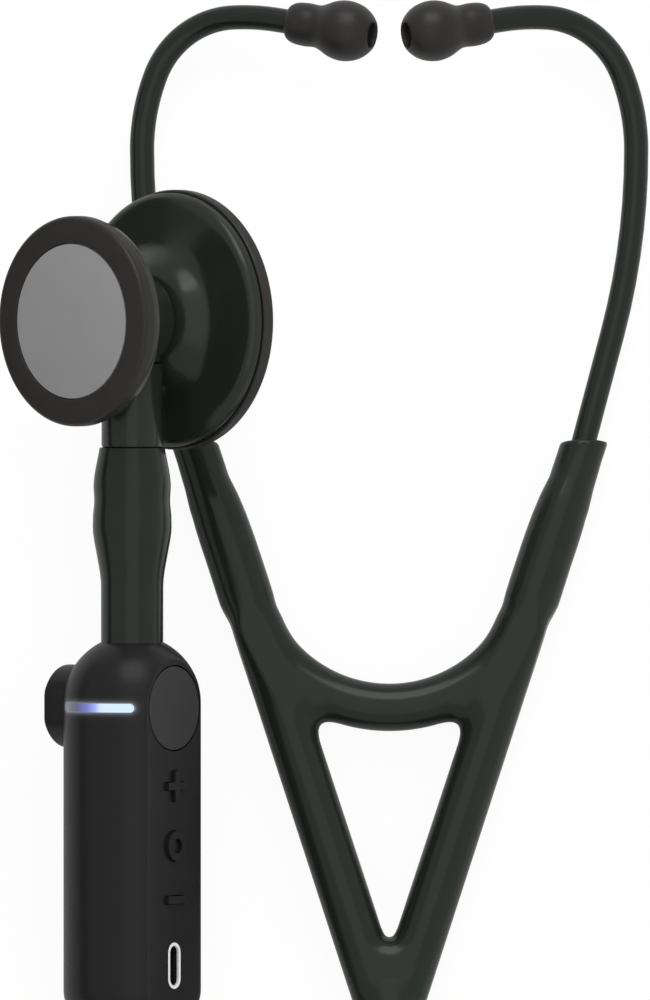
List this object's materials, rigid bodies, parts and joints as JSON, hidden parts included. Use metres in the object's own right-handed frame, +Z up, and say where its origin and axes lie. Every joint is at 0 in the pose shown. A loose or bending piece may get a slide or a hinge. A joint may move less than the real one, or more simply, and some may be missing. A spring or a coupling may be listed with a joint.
{
  "type": "electronic stethoscope",
  "caption": "Amplified stethoscope with a double-sided swivelling chestpiece, an in-line control module, tubing and a sprung headset.",
  "frame": {"origin": "on the table under the centre of the object's box, which leaves out the main tube", "axes": "+X to the picture's right, +Y from the yoke towards the ear tips, +Z up from the table towards the viewer"},
  "size_m": [0.1365, 0.3393, 0.0637],
  "materials": {
    "metal_black": "glossy black coated metal",
    "rim_rubber": "matte soft black",
    "diaphragm_grey": "matte grey",
    "tube_black": "glossy black tubing",
    "case_black": "matte black",
    "key_grey": "matte dark grey",
    "steel": "brushed",
    "inner_plastic": "plain moulded",
    "seal": "plain",
    "light": "lit diffuser",
    "board": "green board",
    "white_trim": "white",
    "battery_wrap": "wrapped cell"
  },
  "bodies": {
    "base": {"stem": "metal_black", "stem_retaining_ring": "steel", "stem_seal": "seal", "short_tube": "tube_black", "housing": "case_black", "back_cover": "case_black", "back_cover_screws": "steel", "valve_block": "inner_plastic", "upper_connector": "inner_plastic", "lower_connector": "inner_plastic", "sound_tube": "seal", "light_bar": "light", "status_leds": "board", "circuit_board": "board", "button_switches": "steel", "charging_port": "case_black", "port_trim_ring": "white_trim", "battery": "battery_wrap", "microphone": "steel", "speaker": "steel", "yoke": "tube_black", "leaf_spring": "steel", "main_tube": "tube_black"},
    "chestpiece": {"chestpiece_body": "metal_black", "adult_rim": "rim_rubber", "pediatric_rim": "rim_rubber"},
    "adult_diaphragm": {"adult_diaphragm": "diaphragm_grey"},
    "pediatric_diaphragm": {"pediatric_diaphragm": "diaphragm_grey"},
    "mode_valve": {"mode_knob": "case_black", "valve_barrel": "inner_plastic", "valve_end_disc": "key_grey"},
    "volume_up_button": {"volume_up_button": "key_grey"},
    "center_button": {"center_button": "key_grey"},
    "volume_down_button": {"volume_down_button": "key_grey"},
    "left_earpiece": {"left_ear_tube": "metal_black", "left_eartip": "rim_rubber"},
    "right_earpiece": {"right_ear_tube": "metal_black", "right_eartip": "rim_rubber"}
  },
  "joints": [
    {"name": "chestpiece_swivel", "type": "hinge", "parent": "base", "child": "chestpiece", "pos_m": [-0.03834, 0.03624, 0.03723], "axis": [0, 0.9842, 0.1771], "continuous": true},
    {"name": "adult_diaphragm_press", "type": "slide", "parent": "chestpiece", "child": "adult_diaphragm", "axis": [-0.7071, -0.1252, 0.6959], "range_m": [0, 0.0004], "stiffness_N_per_m": 2500},
    {"name": "pediatric_diaphragm_press", "type": "slide", "parent": "chestpiece", "child": "pediatric_diaphragm", "axis": [0.7071, 0.1252, -0.6959], "range_m": [0, 0.0004], "stiffness_N_per_m": 2500},
    {"name": "mode_knob_turn", "type": "hinge", "parent": "base", "child": "mode_valve", "pos_m": [-0.03834, -0.03952, 0.0236], "axis": [-0.809, 0.1041, -0.5785], "range_deg": [0, 90]},
    {"name": "volume_up_press", "type": "slide", "parent": "base", "child": "volume_up_button", "axis": [-0.809, 0.1041, -0.5785], "range_m": [0, 0.0005], "stiffness_N_per_m": 3000},
    {"name": "center_press", "type": "slide", "parent": "base", "child": "center_button", "axis": [-0.809, 0.1041, -0.5785], "range_m": [0, 0.0005], "stiffness_N_per_m": 3000},
    {"name": "volume_down_press", "type": "slide", "parent": "base", "child": "volume_down_button", "axis": [-0.809, 0.1041, -0.5785], "range_m": [0, 0.0005], "stiffness_N_per_m": 3000},
    {"name": "left_ear_tube_spread", "type": "hinge", "parent": "base", "child": "left_earpiece", "pos_m": [-0.01276, -0.02334, 0.00559], "axis": [0, 0.0105, 0.9999], "range_deg": [-1, 28], "stiffness_Nm_per_rad": 1.3, "deforming": ["yoke", "leaf_spring"]},
    {"name": "right_ear_tube_spread", "type": "hinge", "parent": "base", "child": "right_earpiece", "pos_m": [0.03848, -0.02334, 0.00559], "axis": [0, -0.0105, -0.9999], "range_deg": [-1, 28], "stiffness_Nm_per_rad": 1.3, "deforming": ["yoke", "leaf_spring"]}
  ]
}
